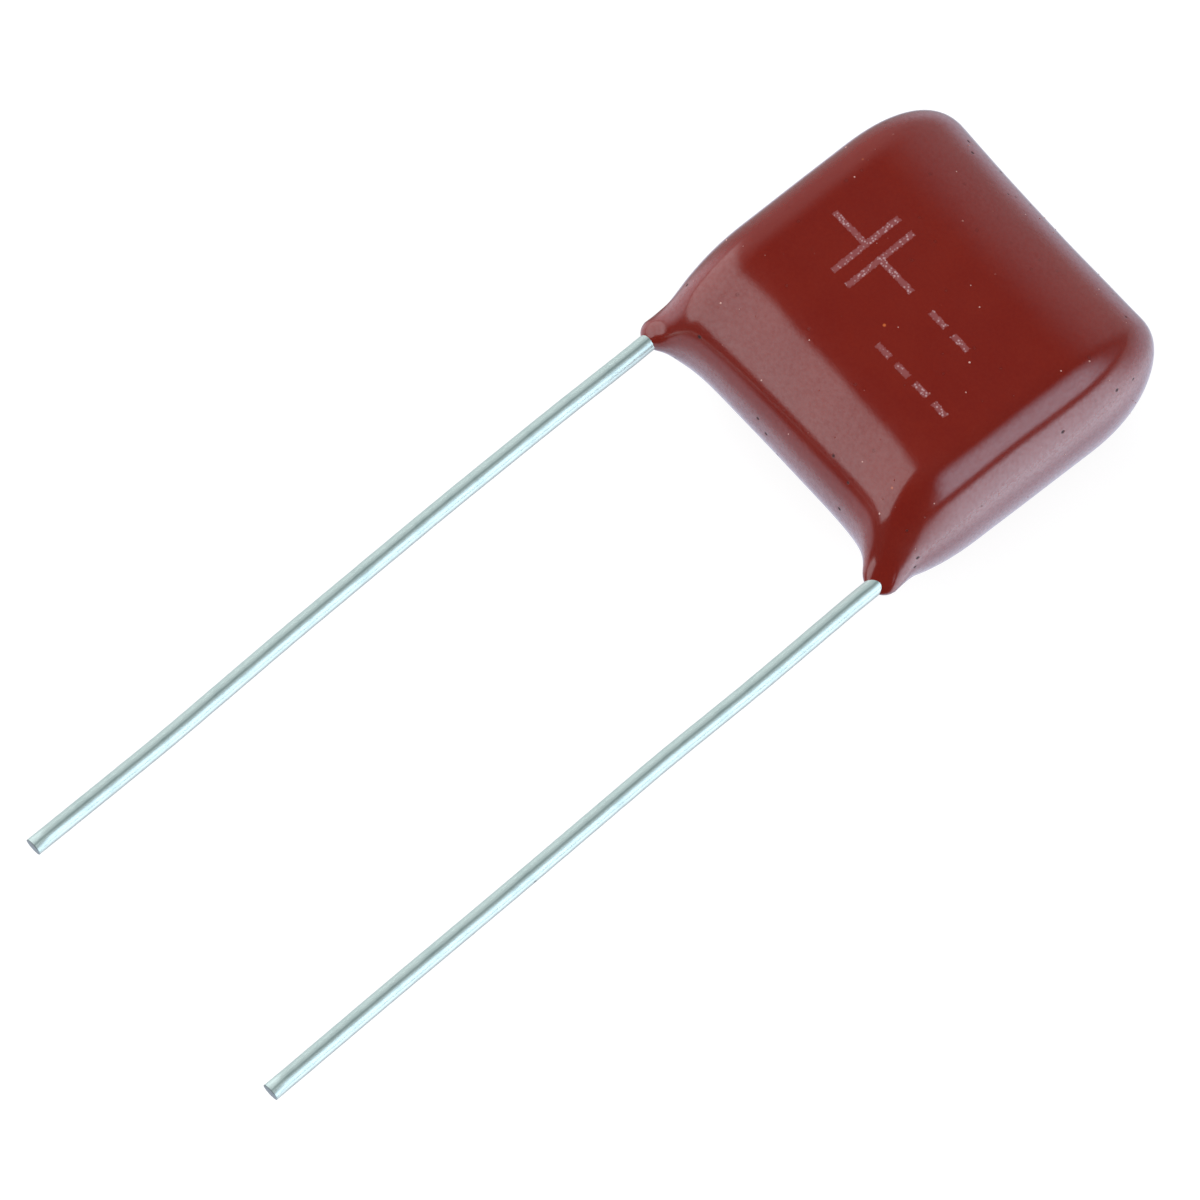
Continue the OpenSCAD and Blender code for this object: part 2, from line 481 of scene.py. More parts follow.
@dataclass(frozen=True)
class TinnedFinish:
    """Tinned wire with streaks, dull patches, nicks, a shallow groove on its top darkened by a
    painted reflection line, painted shade on its +X flank and lower half, and a bare cut end.
    """

    tin: Colour = (0.74, 0.92, 0.88, 1.0)
    dull: Colour = (0.60, 0.78, 0.75, 1.0)
    nick: Colour = (0.10, 0.13, 0.14, 1.0)
    bare: Colour = (0.24, 0.30, 0.30, 1.0)
    # Colour of the painted dark reflection line along the wire's top, laid in a shallow bumped
    # groove
    line: Colour = (0.27, 0.39, 0.38, 1.0)
    # Colour of the painted shade on the +X flank and the whole lower half of the wire
    flank: Colour = (0.44, 0.50, 0.46, 1.0)
    nicks: SpeckSize = SpeckSize(0.7 * MM, 0.08 * MM, 0.16)
    streak_size: float = 0.05 * MM
    streak_squeeze: float = 0.04
    patch_size: float = 0.5 * MM
    bump_depth: float = 0.008 * MM
    line_at: float = 0.14

    def material(self) -> Material:
        """The finish as a material."""
        graph = SurfaceGraph("tinned_wire_satin")
        stretched = graph.vector("MULTIPLY", graph.place, (1.0, self.streak_squeeze, 1.0))
        streaks = graph.noise(stretched, self.streak_size, 3.0, 0.6)
        patches = graph.noise(graph.place, self.patch_size, 3.0)
        nicks = graph.specks(graph.place, self.nicks)
        across, cut = (
            graph.wire("Attribute", settings={"attribute_name": name}, output="Fac")
            for name in ("across", "cut")
        )
        # Painted dark reflection line along the top of the wire; the bump below also sinks it as a
        # shallow groove
        line = abs(across - self.line_at + (patches - 0.5) * 0.1).ramp(0.02, 0.20, 1.0, 0.0)
        colour = graph.mix(patches.ramp(0.45, 0.75) * 0.6, self.tin, self.dull)
        colour = graph.mix(line * (0.35 + patches * 0.5), colour, self.line)
        # Painted shade: darker towards the +X flank and over the lower half
        colour = graph.mix(across.ramp(0.84, 1.0), colour, self.flank)
        colour = graph.mix(cut.ramp(0.55, 0.85), colour, self.bare)
        colour = graph.mix(nicks * 0.85, colour, self.nick)
        height = streaks * 0.5 + patches * 0.5 - nicks - line * 0.5
        return graph.close({
            "Base Color": colour,
            "Metallic": 0.6,
            "Roughness": 0.26 + patches * 0.12 + nicks * 0.3,
            "Normal": graph.bump(height, self.bump_depth),
        })


@dataclass(frozen=True)
class FilmFinish:
    """Metallised film rolled flat, with its turns as fine lines.

    Args:
        spine: Half length of the roll's straight middle.
        middle_z: Height of the roll's middle.
    """

    spine: float
    middle_z: float
    bright: Colour = (0.72, 0.74, 0.75, 1.0)
    dark: Colour = (0.46, 0.47, 0.49, 1.0)
    turn: float = 0.06 * MM
    haze_size: float = 0.8 * MM
    bump_depth: float = 0.004 * MM

    def material(self) -> Material:
        """The finish as a material."""
        graph = SurfaceGraph("metallised_film_roll")
        _, y, z = graph.split(graph.place)
        out_y = (abs(y) - self.spine).most(0.0)
        out_z = z - self.middle_z
        depth = (out_y * out_y + out_z * out_z) ** 0.5
        turns = (depth * (2 * math.pi / self.turn)).sine() * 0.5 + 0.5
        haze = graph.noise(graph.place, self.haze_size, 3.0)
        return graph.close({
            "Base Color": graph.mix(turns * 0.6 + haze * 0.3, self.bright, self.dark),
            "Metallic": 0.6,
            "Roughness": 0.30 + haze * 0.2,
            "Normal": graph.bump(turns, self.bump_depth),
        })


@dataclass(frozen=True)
class SprayFinish:
    """Sprayed zinc, a matte crust of small flattened drops."""

    light: Colour = (0.56, 0.57, 0.58, 1.0)
    dark: Colour = (0.30, 0.31, 0.32, 1.0)
    drop_size: float = 0.12 * MM
    bump_depth: float = 0.03 * MM

    def material(self) -> Material:
        """The finish as a material."""
        graph = SurfaceGraph("sprayed_zinc_crust")
        drops = graph.noise(graph.place, self.drop_size, 4.0, 0.65)
        return graph.close({
            "Base Color": graph.mix(drops.ramp(0.3, 0.7), self.dark, self.light),
            "Metallic": 0.85,
            "Roughness": 0.75 - drops * 0.2,
            "Normal": graph.bump(drops, self.bump_depth),
        })


@dataclass(frozen=True)
class SpeckFinish:
    """Cured resin specks that stand out of the coating."""

    pale: Colour = (0.62, 0.36, 0.31, 1.0)
    red: Colour = (0.24, 0.03, 0.015, 1.0)
    patch_size: float = 0.6 * MM

    def material(self) -> Material:
        """The finish as a material."""
        graph = SurfaceGraph("resin_speck_gloss")
        kind = graph.noise(graph.place, self.patch_size, 1.0)
        colour = graph.mix(kind.ramp(0.45, 0.6), self.red, self.pale)
        gloss = {"Roughness": 0.2 + kind * 0.15, "Coat Weight": 0.8}
        return graph.close({"Base Color": colour, **gloss})


# Pieces


@dataclass(frozen=True)
class NeckShape:
    """Neck of coating round one lead, a flattened cone with round ends that leans in to the body.

    Args:
        tip_out: Distance of the tip's middle from the lead, away from the other lead.
        tip_drop: Depth of the tip's middle below the body's lead side.
        tip_r: Radius at the tip, seen from above.
        root_in: Distance of the root's middle from the lead, towards the other lead.
        root_rise: Height of the root's middle above the body's lead side.
        root_r: Radius at the root, seen from above.
        tip_z: Half thickness at the tip's end.
        root_z: Half thickness at the root.
        tilt: Slope of the neck down towards +X.
    """

    tip_out: float
    tip_drop: float
    tip_r: float
    root_in: float
    root_rise: float
    root_r: float
    tip_z: float
    root_z: float
    tilt: float = 0.0

    def gap(self, points: np.ndarray, lead_x: float, edge_y: float) -> np.ndarray:
        """Distance to the neck.

        Args:
            points: Places, one row each, with heights over the middle plane.
            lead_x: Place of the lead across the body, with its sign.
            edge_y: Place of the body's lead side.

        Returns:
            Distances, negative inside.
        """
        side = math.copysign(1.0, lead_x)
        tip = np.array([lead_x + side * self.tip_out, edge_y - self.tip_drop, 0.0])
        root = np.array([lead_x - side * self.root_in, edge_y + self.root_rise, 0.0])
        axis = root - tip
        length = float(np.linalg.norm(axis))
        slope = math.asin((self.root_r - self.tip_r) / length)
        offset = points - tip
        along = offset @ axis / length
        wide = self.tip_r + (self.root_r - self.tip_r) * np.clip(along / length, 0, 1)
        share = np.clip((along + self.tip_r) / (length + self.tip_r), 0, 1)
        thick = self.tip_z + (self.root_z - self.tip_z) * (share + share**2 - share**3)
        offset[:, 2] = (offset[:, 2] + self.tilt * offset[:, 0]) * wide / thick
        aside = np.linalg.norm(np.cross(offset, axis), axis=1) / length
        foot = along + aside * math.tan(slope)
        cone = aside * math.cos(slope) - along * math.sin(slope) - self.tip_r
        cone = np.where(foot < 0, np.linalg.norm(offset, axis=1) - self.tip_r, cone)
        root_gap = np.linalg.norm(offset - axis, axis=1) - self.root_r
        return np.where(foot > length, root_gap, cone)


LEFT_NECK = NeckShape(
    tip_out=0.05 * MM, tip_drop=0.25 * MM, tip_r=0.34 * MM, tip_z=0.30 * MM,
    root_in=0.40 * MM, root_rise=0.80 * MM, root_r=0.30 * MM, root_z=0.50 * MM,
)
RIGHT_NECK = NeckShape(
    tip_out=-0.08 * MM, tip_drop=0.33 * MM, tip_r=0.50 * MM, tip_z=0.20 * MM, tilt=0.12,
    root_in=0.60 * MM, root_rise=0.85 * MM, root_r=0.55 * MM, root_z=0.90 * MM,
)


@dataclass
class DippedCoating:
    """Epoxy coating: a plate with rounded edges that flows into a neck round each lead.

    Args:
        half_w: Half width of the body across the leads.
        half_h: Half height of the body along the leads.
        half_t: Half thickness of the body.
        lead_x: Distance of each lead from the middle.
        face_x: Distance of the sprayed faces from the middle.
        roll_h: Height of the roll inside.
        roll_t: Thickness of the roll inside.
    """

    half_w: float
    half_h: float
    half_t: float
    lead_x: float
    face_x: float
    roll_h: float
    roll_t: float
    rim_cover: float = 0.22 * MM
    necks: tuple[tuple[Side, NeckShape], ...] = ((Side.LEFT, LEFT_NECK), (Side.RIGHT, RIGHT_NECK))
    flow: float = 0.5 * MM
    edge_slant: float = 0.07
    far_dip: float = 0.07 * MM
    far_slant: float = 0.014
    right_slant: float = 0.024
    left_slant: float = -0.012
    left_grow: float = 0.06 * MM
    slant_past: float = 2 * MM
    far_cuts: tuple[float, float] = (0.05, 0.4)
    crown: float = 0.10 * MM
    soft_reach: float = 1.2
    soft_power: float = 2.4
    ripple: float = 0.022 * MM
    outline_steps: tuple[int, ...] = (26, 110, 30, 40, 24)
    neck_from: float = math.radians(215)
    # Shares of the flat's half sizes, across and along, at which each run of outline rays ends
    outline_stops: Pairs = ((0.6, 0.0), (1.0, 0.6), (1.0, 1.6), (1.3, 2.0), (2.0, 2.0))
    rim_steps: int = 48
    flat_steps: int = 14
    solve_steps: int = 30
    solve_reach: float = 1.5
    roll_steps: int = 64
    # Turns per millimetre along each axis, and shift, of each wave in radians
    ripple_waves: tuple[tuple[float, float, float, float], ...] = (
        (0.9, 0.5, 0.8, 0.3),
        (-0.6, 1.1, 0.5, 1.9),
        (1.7, -0.8, 1.2, 4.1),
        (0.4, 2.1, -1.4, 2.6),
        (-2.3, -1.6, 0.9, 5.2),
    )
    piece: Object = field(init=False)

    def __post_init__(self) -> None:
        """Work out the roundings and the flat faces."""
        rim_share = math.sqrt(1 - ((self.roll_t / 2 + self.rim_cover) / self.half_t) ** 2)
        self.side_round = self.soft_reach * (self.half_w - self.face_x) / (1 - rim_share)
        self.flat_x = self.half_w - self.side_round
        self.flat_y = self.half_h - self.soft_reach * self.half_t

    @classmethod
    def from_frame(cls) -> "DippedCoating":
        """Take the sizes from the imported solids."""
        _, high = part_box("epoxy_coating")
        roll_low, roll_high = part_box("film_winding")
        _, spray_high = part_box("end_spray_right")
        mount = lead_mount(Side.RIGHT)
        return cls(
            half_w=high.x,
            half_h=high.y,
            half_t=high.z / 2,
            lead_x=mount["pos_m"][0],
            face_x=spray_high.x,
            roll_h=roll_high.y - roll_low.y,
            roll_t=roll_high.z - roll_low.z,
        )

    def ripples(self, points: np.ndarray) -> np.ndarray:
        """Depth of the dipped skin's shallow waves at points, always inwards."""
        waves = [np.sin(points @ wave[:3] / MM + wave[3]) for wave in self.ripple_waves]
        return self.ripple * (0.5 + 0.5 * sum(waves) / len(waves))

    def body_gap(self, points: np.ndarray) -> np.ndarray:
        """Distance to the body, a slightly crowned plate whose edges and corners start softly.

        Args:
            points: Places, one row each, with heights over the middle plane.

        Returns:
            Distances, negative inside.
        """
        x, y, z = points.T
        held_x = np.clip(x, -self.flat_x, self.flat_x)
        held_y = np.clip(y, -self.flat_y - self.slant_past, self.flat_y + self.slant_past)
        dip = self.far_dip * (1 - (held_x / self.flat_x) ** 2) + self.far_slant * held_x
        flat = self.flat_y + np.where(y < 0, self.edge_slant * held_x, 0.0)
        left_grow = self.left_slant * held_y + self.left_grow
        grow = np.where(x > 0, self.right_slant * held_y, left_grow)
        across = np.maximum(np.abs(x) - grow - self.flat_x, 0) / self.side_round
        past = np.maximum(np.abs(y) + np.where(y > 0, dip, 0.0) - flat, 0)
        along = past / (self.half_h - flat)
        cut = np.where(y > 0, np.where(x < 0, *self.far_cuts), 0.0) * (across * along) ** 2
        sag = self.crown * ((x / self.half_w) ** 2 + (y / self.half_h) ** 2)
        level = z / (self.half_t - np.where(z > 0, sag, 0.0))
        edges = across**self.soft_power + along**self.soft_power + cut
        return self.half_t * (np.sqrt(edges + level**2) - 1)

    def skin_gap(self, points: np.ndarray) -> np.ndarray:
        """Distance to the skin, where the necks flow into the body.

        Args:
            points: Places, one row each, with heights over the middle plane.

        Returns:
            Distances, negative inside.
        """
        skin = self.body_gap(points)
        for side, shape in self.necks:
            neck = shape.gap(points, side.value * self.lead_x, -self.half_h)
            skin = -self.flow * np.logaddexp(-skin / self.flow, -neck / self.flow)
        return skin + self.ripples(points)

    def reach(self, start: np.ndarray, along: np.ndarray, far: float) -> np.ndarray:
        """Distances along rays from inside the skin to the skin.

        Args:
            start: Start of each ray.
            along: Direction of each ray.
            far: Distance that is outside for every ray.

        Returns:
            One distance for each ray.
        """
        inside, outside = np.zeros(len(start)), np.full(len(start), far)
        for _ in range(self.solve_steps):
            middle = (inside + outside) / 2
            within = self.skin_gap(start + along * middle[:, None]) < 0
            inside = np.where(within, middle, inside)
            outside = np.where(within, outside, middle)
        return (inside + outside) / 2

    def rays(self) -> tuple[np.ndarray, np.ndarray, np.ndarray]:
        """Rays round the outline.

        Returns:
            Start, direction and inner stop on the flat's edge of each ray, counterclockwise from
            above.
        """
        flat_x, flat_y = self.flat_x, self.flat_y
        fan_y = -flat_y - self.half_t / 2
        arch_x = self.lead_x - (self.half_h + fan_y) / math.tan(self.neck_from - math.pi)
        stops = [0.0] + [flat_x * across + flat_y * along for across, along in self.outline_stops]
        corner = (flat_x, flat_y)
        # First and last start, and first and last direction in half turns, of each run of rays
        runs = [
            ((0.0, -flat_y), (arch_x, -flat_y), 1.5, 1.5),
            ((self.lead_x, fan_y), (self.lead_x, fan_y), self.neck_from / math.pi, 2.0),
            ((flat_x, fan_y), corner, 2.0, 2.0),
            (corner, corner, 2.0, 2.5),
            (corner, (0.0, flat_y), 2.5, 2.5),
        ]
        rows = []
        for steps, run, low, high in zip(self.outline_steps, runs, stops, stops[1:]):
            first, last = np.array(run[0]), np.array(run[1])
            share = (np.arange(steps + (low == stops[-2])) / steps)[:, None]
            spot = first + (last - first) * share
            angle = math.pi * (run[2] + (run[3] - run[2]) * share)
            rows.append(np.hstack([spot, np.cos(angle), np.sin(angle), low + (high - low) * share]))
        right = np.vstack(rows)
        knots = [0.0, flat_x, flat_x + 2 * flat_y, stops[-1]]
        edge_x = np.interp(right[:, 4], knots, [0.0, flat_x, flat_x, 0.0])
        edge_y = np.interp(right[:, 4], knots, [-flat_y, -flat_y, flat_y, flat_y])
        right = np.column_stack([right[:, :4], edge_x, edge_y])
        left = right[-2:0:-1] * np.array([-1, 1, -1, 1, -1, 1])
        ring = np.vstack([right, left])
        return ring[:, 0:2], ring[:, 2:4], ring[:, 4:6]

    def skin(self) -> tuple[np.ndarray, Faces]:
        """Points and faces of the outer skin.

        Returns:
            Points with heights over the middle plane, and faces that point outwards.
        """
        start, along, edge = self.rays()
        count = len(start)
        zero = np.zeros((count, 1))
        outside = self.half_w + self.half_h
        tip = self.reach(np.hstack([start, zero]), np.hstack([along, zero]), outside)
        outline = start + along * tip[:, None]
        shares = np.sin(np.linspace(0, math.pi / 2, self.rim_steps + 1))[1:]
        flats = [edge * (k / self.flat_steps) for k in range(1, self.flat_steps + 1)]
        rims = [edge + (outline - edge) * share for share in shares]
        spots = np.vstack(flats + rims)
        ground = np.hstack([spots, np.zeros((len(spots), 1))])
        up = np.array([[0.0, 0.0, 1.0]])
        rise = np.broadcast_to(up, ground.shape)
        far = self.half_t * self.solve_reach
        upper = ground + rise * self.reach(ground, rise, far)[:, None]
        lower = ground - rise * self.reach(ground, -rise, far)[:, None]
        upper[-count:, 2] = 0.0
        middle, poles = np.zeros((1, 3)), np.zeros((2, 3))
        poles[:, 2] = self.reach(middle, up, far)[0], -self.reach(middle, -up, far)[0]
        rings = len(upper) // count
        down = [lower[k * count : (k + 1) * count] for k in range(rings - 2, -1, -1)]
        points = np.vstack([upper, *down, poles])
        last_ring = 2 * rings - 2
        top, bottom = len(points) - 2, len(points) - 1
        faces: Faces = []
        for s in range(count):
            n = (s + 1) % count
            faces.append((top, s, n))
            for k in range(last_ring):
                a, b = k * count, (k + 1) * count
                faces.append((a + s, b + s, b + n, a + n))
            faces.append((last_ring * count + s, bottom, last_ring * count + n))
        return points, faces

    def hollow(self) -> tuple[np.ndarray, Faces]:
        """Points and faces of the hollow that holds the roll and its sprayed ends.

        Returns:
            Points with heights over the middle plane, and faces that point into the hollow.
        """
        count = self.roll_steps
        turn = np.linspace(0, 2 * math.pi, count, endpoint=False)
        radius, spine = self.roll_t / 2, (self.roll_h - self.roll_t) / 2
        y = radius * np.cos(turn) + np.where(np.cos(turn) >= 0, spine, -spine)
        z = radius * np.sin(turn)
        ends = [np.column_stack([np.full_like(y, x), y, z]) for x in (-self.face_x, self.face_x)]
        faces: Faces = [tuple(range(count)), tuple(range(2 * count - 1, count - 1, -1))]
        for s, n in zip(range(count), [*range(1, count), 0]):
            faces.append((s, count + s, count + n, n))
        return np.vstack(ends), faces

    def build(self) -> None:
        """Make the coating with its hollow, in place of its solid."""
        skin_points, skin_faces = self.skin()
        hollow_points, hollow_faces = self.hollow()
        moved = [tuple(i + len(skin_points) for i in face) for face in hollow_faces]
        points = np.vstack([skin_points, hollow_points]) + np.array([0.0, 0.0, self.half_t])
        self.piece = add_object("coating", make_mesh("coating", points, skin_faces + moved))
        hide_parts("epoxy_coating")

    def dress(self) -> None:
        """Give the coating its finish."""
        self.piece.data.materials.append(EpoxyFinish(top_z=2 * self.half_t).material())
        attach(self.piece, BODY)


@dataclass
class ResinSpecks:
    """Tiny cured specks scattered over the coating's skin.

    Args:
        coating: The coating that carries them.
    """

    coating: DippedCoating
    density: float = 0.5 / MM**2
    small: float = 0.008 * MM
    large: float = 0.036 * MM
    sunk: float = 0.45
    seed: int = 7
    piece: Object = field(init=False)

    def build(self) -> None:
        """Scatter the specks with a geometry tree."""
        graph = ShapeGraph("speck_scatter")
        spots = graph.add(
            "GeometryNodeDistributePointsOnFaces",
            {
                "Mesh": graph.out(graph.entry, "Geometry"),
                "Density": graph.ask("Density", self.density),
                "Seed": graph.ask("Seed", self.seed, "NodeSocketInt"),
            },
            {"distribute_method": "RANDOM"},
        )
        ball = graph.wire("GeometryNodeMeshIcoSphere", {"Radius": 1.0, "Subdivisions": 2})
        depth = graph.join(0.0, 0.0, graph.ask("Sunk Share", self.sunk) * -1.0)
        drop = graph.wire("GeometryNodeTransform", {0: ball, "Translation": depth})
        small, large = graph.ask("Smallest", self.small), graph.ask("Largest", self.large)
        size = graph.wire(
            "FunctionNodeRandomValue",
            {2: small, 3: large, "Seed": self.seed + 1},
            {"data_type": "FLOAT"},
            1,
        )
        drops = graph.wire(
            "GeometryNodeInstanceOnPoints",
            {
                "Points": graph.out(spots, "Points"),
                "Instance": drop,
                "Rotation": graph.out(spots, "Rotation"),
                "Scale": size,
            },
        )
        smooth = graph.wire("GeometryNodeSetShadeSmooth", {0: drops})
        graph.finish(smooth, SpeckFinish().material())
        self.piece = graph.run(self.coating.piece, "resin_specks")

    def dress(self) -> None:
        """Let the specks ride with the coating."""
        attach(self.piece, BODY)


@dataclass
class TinnedLead:
    """A tinned lead: a round wire with a coined head inside the body and a cropped end.

    Args:
        side: Side of the part that it stands on.
        bends: Share of the free length and sideways offset of each soft bend.
        short: Length that the cutters took off more than the solid's.
    """

    side: Side
    bends: Pairs
    short: float
    head_t: float = 0.30 * MM
    head_w: float = 0.85 * MM
    shoulder: float = 1.5 * MM
    crop: float = 0.50 * MM
    pinch: float = 0.34
    narrow: float = -0.03
    dent: float = 0.012 * MM
    dent_size: float = 0.35 * MM
    bend_reach: float = 1.6 * MM
    path_step: float = 0.1 * MM
    round_steps: int = 32
    upper_from: float = 0.2
    # Shift of across on the lower half, which moves it off the painted reflection line and into the
    # painted flank shade
    off_line: float = 9.0
    cap_facing: float = 0.9
    piece: Object = field(init=False)

    def __post_init__(self) -> None:
        """Take the wire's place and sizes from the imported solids."""
        low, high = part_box(self.side.lead_node)
        mount = lead_mount(self.side)
        self.radius = mount["dims"]["r_mm"] * MM
        self.free = mount["dims"]["length_mm"] * MM
        self.x, _, self.z = mount["pos_m"]
        self.top_y, self.end_y = high.y, low.y

    def path(self) -> np.ndarray:
        """Middle line of the wire from its head to its cropped end."""
        cut_y = self.end_y + self.short
        y = np.append(np.arange(self.top_y, cut_y, -self.path_step), cut_y)
        share = (self.end_y + self.free - y) / self.free
        places, offsets = np.array(self.bends).T
        fine = np.interp(share, places, offsets)
        width = max(int(self.bend_reach / self.path_step), 1)
        kernel = np.hanning(2 * width + 3)[1:-1]
        padded = np.pad(fine, width, mode="edge")
        smooth = np.convolve(padded, kernel / kernel.sum(), mode="valid")
        return np.column_stack([self.x + smooth, y, np.full_like(y, self.z)])

    def build(self) -> None:
        """Sweep the wire along its path with a geometry tree, in place of its solid."""
        line = self.path()
        mesh = bpy.data.meshes.new(f"{self.side.lead_node}_path")
        mesh.from_pydata(line.tolist(), [(i, i + 1) for i in range(len(line) - 1)], [])
        host = add_object(f"{self.side.lead_node}_path", mesh)
        self.piece = self.tree().run(host, f"{self.side.lead_mount}_wire")
        bpy.data.objects.remove(host)
        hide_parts(self.side.lead_node)

    def tree(self) -> ShapeGraph:
        """Geometry tree that sweeps a round wire, coins its head and crops its end."""
        graph = ShapeGraph(f"{self.side.lead_node}_sweep")
        asked = {
            "Wire Radius": self.radius,
            "Head Length": self.top_y - (self.end_y + self.free) - self.shoulder,
            "Shoulder Length": self.shoulder,
            "Head Thickness": self.head_t,
            "Head Width": self.head_w,
            "Head Shift": self.side.value * (self.head_t / 2 - self.radius),
            "Crop Length": self.crop,
            "Crop Pinch": self.pinch,
            "Crop Narrowing": self.narrow,
            "Dent Depth": self.dent,
        }
        radius, head_len, shoulder, head_t, head_w, head_shift, crop, pinch, narrow, dent = (
            graph.ask(name, value) for name, value in asked.items()
        )

        curve = graph.wire("GeometryNodeMeshToCurve", {0: graph.out(graph.entry, "Geometry")})
        place = graph.wire("GeometryNodeInputPosition")
        passed = graph.wire("GeometryNodeSplineParameter", output="Length")
        whole = graph.wire("GeometryNodeSplineLength", output="Length")
        kept = graph.add(
            "GeometryNodeCaptureAttribute",
            {0: curve, 1: passed, 2: whole - passed, 3: place},
            {"captures": [("FLOAT", "Passed"), ("FLOAT", "Left"), ("VECTOR", "Middle")]},
        )
        ring = graph.wire(
            "GeometryNodeCurvePrimitiveCircle",
            {"Resolution": self.round_steps, "Radius": radius},
            {"mode": "RADIUS"},
        )
        marked = graph.wire(
            "GeometryNodeCurveToMesh",
            {"Curve": graph.out(kept, 0), "Profile Curve": ring, "Fill Caps": True},
        )
        passed, left, middle = (graph.out(kept, i) for i in (1, 2, 3))
        head = passed.ramp(head_len, head_len + shoulder, 1.0, 0.0)
        wedge = (1.0 - left / crop).most(0.0)
        off_x, off_y, off_z = graph.split(graph.vector("SUBTRACT", place, middle))
        thin = 1.0 + head * (head_t / (radius * 2.0) - 1.0)
        wide = 1.0 + head * (head_w / (radius * 2.0) - 1.0)
        lumps = (graph.noise(place, self.dent_size, 2.0) - 0.5) * dent * (1.0 - head) / radius
        grow = 1.0 + lumps
        new_x = off_x * thin * (1.0 - wedge * narrow) * grow + head * head_shift
        new_z = off_z * wide * (1.0 - wedge * pinch) * grow
        moved = graph.vector("ADD", middle, graph.join(new_x, off_y, new_z))
        # The lower half gets across raised by off_line, which keeps the painted reflection line on
        # the top and lays the painted flank shade over the lower half
        under = off_z.ramp(0.0, self.radius * self.upper_from, self.off_line, 0.0)
        marks = {
            "across": off_x / radius + under,
            "cut": left.ramp(0.0, self.path_step / 2, 1.0, 0.0),
        }
        for name, value in marks.items():
            inputs = {0: marked, "Name": name, "Value": value}
            marked = graph.wire("GeometryNodeStoreNamedAttribute", inputs)
        shaped = graph.wire("GeometryNodeSetPosition", {0: marked, "Position": moved})
        _, facing, _ = graph.split(graph.wire("GeometryNodeInputNormal"))
        wall = graph.wire(
            "FunctionNodeCompare",
            {0: abs(facing), 1: self.cap_facing},
            {"data_type": "FLOAT", "operation": "LESS_THAN"},
        )
        smooth = graph.wire("GeometryNodeSetShadeSmooth", {0: shaped, "Shade Smooth": wall})
        graph.finish(smooth, TinnedFinish().material())
        return graph

    def dress(self) -> None:
        """Let the wire ride with the part."""
        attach(self.piece, BODY)


@dataclass
class RolledElement:
    """The roll of film and its sprayed ends, which keep their solids."""

    def dress(self) -> list[Object]:
        """Give the roll and its ends their finishes.

        Returns:
            The dressed solids.
        """
        low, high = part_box("film_winding")
        spine = (high.y - low.y - (high.z - low.z)) / 2
        film = FilmFinish(spine=spine, middle_z=(low.z + high.z) / 2).material()
        spray = SprayFinish().material()
        finishes = {"film_winding": (film, Slot.FILM)}
        finishes.update({f"end_spray_{side.name.lower()}": (spray, Slot.SPRAY) for side in Side})
        dressed = []
        for node, (finish, slot) in finishes.items():
            solid = frame["nodes"][node]
            solid.data.materials.clear()
            solid.data.materials.append(finish)
            dressed.append(solid)
        return dressed


# Soft bends of the handled leads: share of the free length, and offset across the part
LEFT_BENDS: Pairs = (
    (-0.06, 0.0), (0.0, 0.07 * MM), (0.13, 0.045 * MM), (0.32, 0.08 * MM),
    (0.58, 0.21 * MM), (0.78, 0.37 * MM), (1.0, 0.41 * MM),
)
RIGHT_BENDS: Pairs = (
    (-0.06, 0.0), (0.0, -0.05 * MM), (0.19, 0.07 * MM), (0.34, 0.08 * MM),
    (0.60, 0.25 * MM), (0.80, 0.34 * MM), (1.0, 0.46 * MM),
)
LEFT_SHORT = 0.12 * MM
RIGHT_SHORT = 0.32 * MM


def lead_mount(side: Side) -> dict[str, Any]:
    """The record's mount of one lead."""
    return next(m for m in frame["record"]["mounts"] if m["name"] == side.lead_mount)


# Studio


@dataclass(frozen=True)
class SoftPanel:
    """A soft light panel that faces the part.

    Args:
        name: The panel's name.
        towards: Direction from the part to the panel's middle.
        width: Width of the panel.
        height: Height of the panel.
        glow: Brightness of its face.
    """

    name: str
    towards: tuple[float, float, float]
    width: float
    height: float
    glow: float
    distance: float = 0.5

    def build(self) -> None:
        """Hang the panel."""
        data = bpy.data.lights.new(self.name, "AREA")
        data.shape = "RECTANGLE"
        data.size, data.size_y = self.width, self.height
        data.energy = self.glow * math.pi * self.width * self.height
        lamp = add_object(self.name, data)
        direction = Vector(self.towards).normalized()
        lamp.location = direction * self.distance
        lamp.rotation_euler = direction.to_track_quat("Z", "Y").to_euler()
        lamp.visible_camera = False
        lamp.visible_glossy = False


@dataclass(frozen=True)
class PhotoCamera:
    """Long-lens camera at the photograph's viewing angle.

    Args:
        middle: Middle of the coated body.
    """

    middle: tuple[float, float, float]
    azimuth: float = 49.0
    elevation: float = 67.0
    px_per_m: float = 35.08 / MM
    image_px: float = 1200.0
    middle_px: tuple[float, float] = (915.8, 339.6)
    distance: float = 0.6
    clip: tuple[float, float] = (0.01, 10.0)
    sensor: float = 36.0

    def build(self) -> None:
        """Set up the camera and make it the scene's."""
        turn, lift = math.radians(self.azimuth), math.radians(self.elevation)
        right = Vector((math.cos(turn), math.sin(turn), 0.0))
        level = math.cos(lift)
        back = Vector((math.sin(turn) * level, -math.cos(turn) * level, math.sin(lift)))
        up = back.cross(right)
        aside = (self.image_px / 2 - self.middle_px[0]) / self.px_per_m
        above = (self.middle_px[1] - self.image_px / 2) / self.px_per_m
        target = Vector(self.middle) + right * aside + up * above
        data = bpy.data.cameras.new("photo_camera")
        data.sensor_width = self.sensor
        data.lens = self.sensor * self.distance / (self.image_px / self.px_per_m)
        data.clip_start, data.clip_end = self.clip
        camera = add_object("photo_camera", data)
        camera.location = target + back * self.distance
        camera.rotation_mode = "QUATERNION"
        camera.rotation_quaternion = (-back).to_track_quat("-Z", "Y")
        bpy.context.scene.camera = camera


